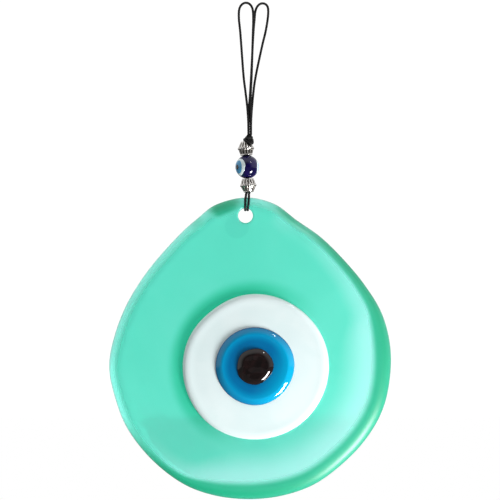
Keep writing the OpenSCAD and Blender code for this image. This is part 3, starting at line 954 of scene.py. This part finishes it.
FLUTES = 14
FLANGE_BEADS = 22
SPACER_SIDES = FLUTES * FLANGE_BEADS
FLANGE_R = 2.875 * MM
FLANGE_T = 0.7 * MM
SPACER_H = 4.7 * MM
PLAIN_END_R = BORE_R + 0.5 * MM
BEAD_END_R = PLAIN_END_R + 0.4 * MM


def cone_profile(end_r, root_r, end_z, root_z, steps):
    """A collar, a neck and a cone that swells to the flange, as points of (radius, height, flute)."""
    out = []
    for share in np.linspace(0, 1, steps):
        z = end_z + (root_z - end_z) * share
        collar = math.exp(-((share - 0.06) / 0.07) ** 2)
        r = end_r - 0.1 * MM + (root_r - end_r + 0.1 * MM) * share + 0.1 * MM * collar
        flute = math.sin(math.pi * min(1, max(0, (share - 0.17) / 0.8))) ** 0.5
        out.append((r, z, flute))
    return out


def make_spacer(name, node, joint, flip, material):
    centre = np.array(JOINTS[joint]["pos_m"])
    half = SPACER_H / 2
    root_r = FLANGE_R - 0.3 * MM
    lower = cone_profile(PLAIN_END_R, root_r, -half, -FLANGE_T / 2, 22)
    upper = cone_profile(BEAD_END_R, root_r, half, FLANGE_T / 2, 22)[::-1]
    angles = np.arange(SPACER_SIDES) * 2 * math.pi / SPACER_SIDES
    groove = (0.5 - 0.5 * np.cos(FLUTES * angles)) ** 3
    beading = np.abs(np.cos(FLANGE_BEADS * angles / 2)) ** 0.7
    rings = []
    rubbed = []

    def add(r, z, shade):
        radius = np.broadcast_to(r, SPACER_SIDES)
        height = np.full(SPACER_SIDES, z)
        rings.append(np.stack([radius * np.cos(angles), radius * np.sin(angles), height], axis=1))
        rubbed.append(np.broadcast_to(shade, SPACER_SIDES))

    def add_cone(profile):
        for r, z, flute in profile:
            add(r - 0.3 * MM * flute * groove, z, 0.75 - 0.75 * flute * groove ** 0.5)

    add(BORE_R, -half + 0.25 * MM, 0.1)
    add(PLAIN_END_R - 0.16 * MM, -half, 0.5)
    add_cone(lower)
    for place in np.linspace(-1, 1, 11):
        swell = math.sqrt(1 - (0.96 * place) ** 2)
        r = root_r + (FLANGE_R - root_r) * swell * (0.55 + 0.45 * beading)
        add(r, place * FLANGE_T / 2, swell * (0.35 + 0.6 * beading))
    add_cone(upper)
    add(BEAD_END_R - 0.16 * MM, half, 0.5)
    add(BORE_R, half - 0.2 * MM, 0.1)
    rings = np.array(rings)
    if flip:
        rings = rings * np.array([1, -1, -1])
    piece = mesh_from_rings(name, on_row(rings, centre), loop=True, values={"rubbed": np.array(rubbed)})
    finish_piece(piece, material, "antique_silver", node, node)


# ---------------------------------------------------------------- studio

FLOOR_Z = -0.5
FLOOR_GREY = 0.2
# Each soft box: direction from the ornament, distance, width and height in metres, power in watts
KEY_LIGHT = ((0.644, -0.391, -0.657), 0.3, 0.077, 0.113, 1.32)
SECOND_LIGHT = ((0.498, -0.469, 0.729), 0.5, 0.04, 0.04, 0.2)
AIM = Vector((-0.0013, 0, -0.11))
FILL_IN_FRONT = 0.08
FILL_AT_SIDES = 0.9
BACKDROP = 1.05
MORE_THROUGH_GLASS = 0.5


def soft_box(name, direction, distance, wide, tall, power):
    light = bpy.data.lights.new(name, "AREA")
    light.shape = "RECTANGLE"
    light.size = wide
    light.size_y = tall
    light.energy = power
    obj = bpy.data.objects.new(name, light)
    obj.location = AIM + Vector(direction).normalized() * distance
    obj.rotation_euler = (-Vector(direction)).to_track_quat("-Z", "Y").to_euler()
    obj.visible_camera = False
    obj.visible_transmission = False
    bpy.context.scene.collection.objects.link(obj)


def seen_directly(tree):
    """1 for what is looked at, straight or through glass, and 0 for the light that it sheds."""
    path = tree.nodes.new("ShaderNodeLightPath")
    return maths(tree, "MAXIMUM", path.outputs["Is Camera Ray"], path.outputs["Is Transmission Ray"])


def make_floor():
    """A pale floor well below the ornament. It sheds little light, so it makes no glare in the glass."""
    work = bmesh.new()
    bmesh.ops.create_grid(work, x_segments=8, y_segments=8, size=3)
    mesh = bpy.data.meshes.new("floor")
    work.to_mesh(mesh)
    work.free()
    floor = bpy.data.objects.new("floor", mesh)
    floor.location = (0, 0, FLOOR_Z)
    bpy.context.scene.collection.objects.link(floor)
    material, tree, shader = new_material("pale_floor")
    shader.inputs["Base Color"].default_value = (FLOOR_GREY, FLOOR_GREY, FLOOR_GREY, 1)
    shader.inputs["Roughness"].default_value = 0.9
    white = tree.nodes.new("ShaderNodeEmission")
    choose = tree.nodes.new("ShaderNodeMixShader")
    tree.links.new(seen_directly(tree), choose.inputs["Fac"])
    tree.links.new(shader.outputs["BSDF"], choose.inputs[1])
    tree.links.new(white.outputs["Emission"], choose.inputs[2])
    tree.links.new(choose.outputs["Shader"], tree.nodes["Material Output"].inputs["Surface"])
    mesh.materials.append(material)


def make_world():
    """White behind the ornament. Its fill light is dim from in front and bright from the sides."""
    world = bpy.data.worlds.new("studio")
    world.use_nodes = True
    bpy.context.scene.world = world
    tree = world.node_tree
    tree.nodes.clear()
    direction = tree.nodes.new("ShaderNodeTexCoord").outputs["Generated"]
    parts = tree.nodes.new("ShaderNodeSeparateXYZ")
    tree.links.new(direction, parts.inputs["Vector"])
    backwards = maths(tree, "MULTIPLY", maths(tree, "ADD", parts.outputs["Y"], 1.0), 0.5)
    glow = ramp(tree, backwards, [(0.02, FILL_IN_FRONT), (0.25, FILL_AT_SIDES), (1.0, FILL_AT_SIDES)])
    fill = tree.nodes.new("ShaderNodeBackground")
    tree.links.new(glow, fill.inputs["Color"])
    backdrop = tree.nodes.new("ShaderNodeBackground")
    backdrop.inputs["Color"].default_value = (1, 1, 1, 1)
    through_glass = tree.nodes.new("ShaderNodeLightPath").outputs["Is Transmission Ray"]
    more = maths(tree, "MULTIPLY", through_glass, MORE_THROUGH_GLASS)
    strength = maths(tree, "ADD", BACKDROP, more)
    tree.links.new(strength, backdrop.inputs["Strength"])
    choose = tree.nodes.new("ShaderNodeMixShader")
    tree.links.new(seen_directly(tree), choose.inputs["Fac"])
    tree.links.new(fill.outputs["Background"], choose.inputs[1])
    tree.links.new(backdrop.outputs["Background"], choose.inputs[2])
    output = tree.nodes.new("ShaderNodeOutputWorld")
    tree.links.new(choose.outputs["Shader"], output.inputs["Surface"])


def make_studio():
    bpy.context.scene.view_settings.view_transform = "Standard"
    make_world()
    make_floor()
    soft_box("key_light", *KEY_LIGHT)
    soft_box("second_light", *SECOND_LIGHT)


# ---------------------------------------------------------------- the whole ornament

make_camera()
cord_material = black_cord()
make_loop("cord_loop_left", "loop_left", LEFT_LOOP, cord_material)
make_loop("cord_loop_right", "loop_right", RIGHT_LOOP, cord_material)
make_knot(cord_material)
make_bead_strands(cord_material)
make_bight("cord_bight_left", "bight_left", -1, cord_material)
make_bight("cord_bight_right", "bight_right", 1, cord_material)
make_drop(mint_glass())
white = white_glass()
black = dark_glass("black_glass", (0.006, 0.004, 0.004), (0.016, 0.007, 0.007), 300)
make_white_disc(white)
make_blue_disc(blue_glass())
make_pupil(black)
cobalt = dark_glass("cobalt_glass", (0.002, 0.0005, 0.04), (0.008, 0.001, 0.085), 500)
bead_centre, bead_radius = make_bead(cobalt)
light_blue = dark_glass("light_blue_glass", (0.06, 0.3, 0.55), (0.1, 0.4, 0.68), 500)
make_bead_eyes(bead_centre, bead_radius, white, light_blue, black)
silver = antique_silver()
make_spacer("upper_silver_spacer", "upper_spacer", "upper_spacer_spin", True, silver)
make_spacer("lower_silver_spacer", "lower_spacer", "lower_spacer_spin", False, silver)
make_studio()
